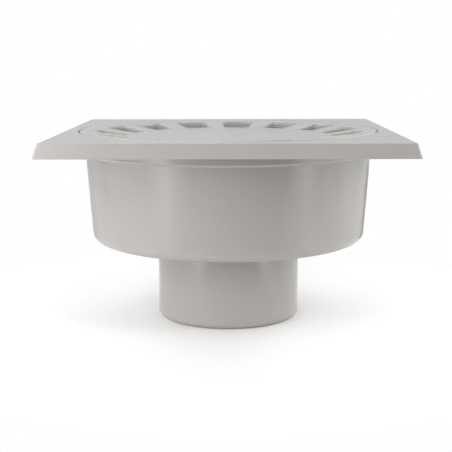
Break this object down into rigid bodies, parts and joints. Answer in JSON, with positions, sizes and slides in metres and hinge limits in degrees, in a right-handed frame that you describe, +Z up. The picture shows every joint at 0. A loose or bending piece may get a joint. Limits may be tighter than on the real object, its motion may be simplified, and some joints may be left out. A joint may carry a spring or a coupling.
{
  "type": "gully trap",
  "caption": "Square floor gully in light grey plastic: a drum with a vertical outlet spigot, a dished round grate with radial slots, and a lift-out bell that forms the water seal.",
  "frame": {"origin": "middle of the outlet's lower end", "axes": "+Z up along the outlet's axis, +X and +Y square to the plate's sides"},
  "size_m": [0.145, 0.145, 0.083],
  "materials": {
    "body_plastic": "satin moulded plastic, light warm grey",
    "grate_plastic": "satin moulded plastic, light warm grey",
    "bell_plastic": "satin moulded plastic, light warm grey"
  },
  "bodies": {
    "root": {"gully_body": "body_plastic", "slotted_grate": "grate_plastic", "trap_bell": "bell_plastic"}
  },
  "joints": []
}
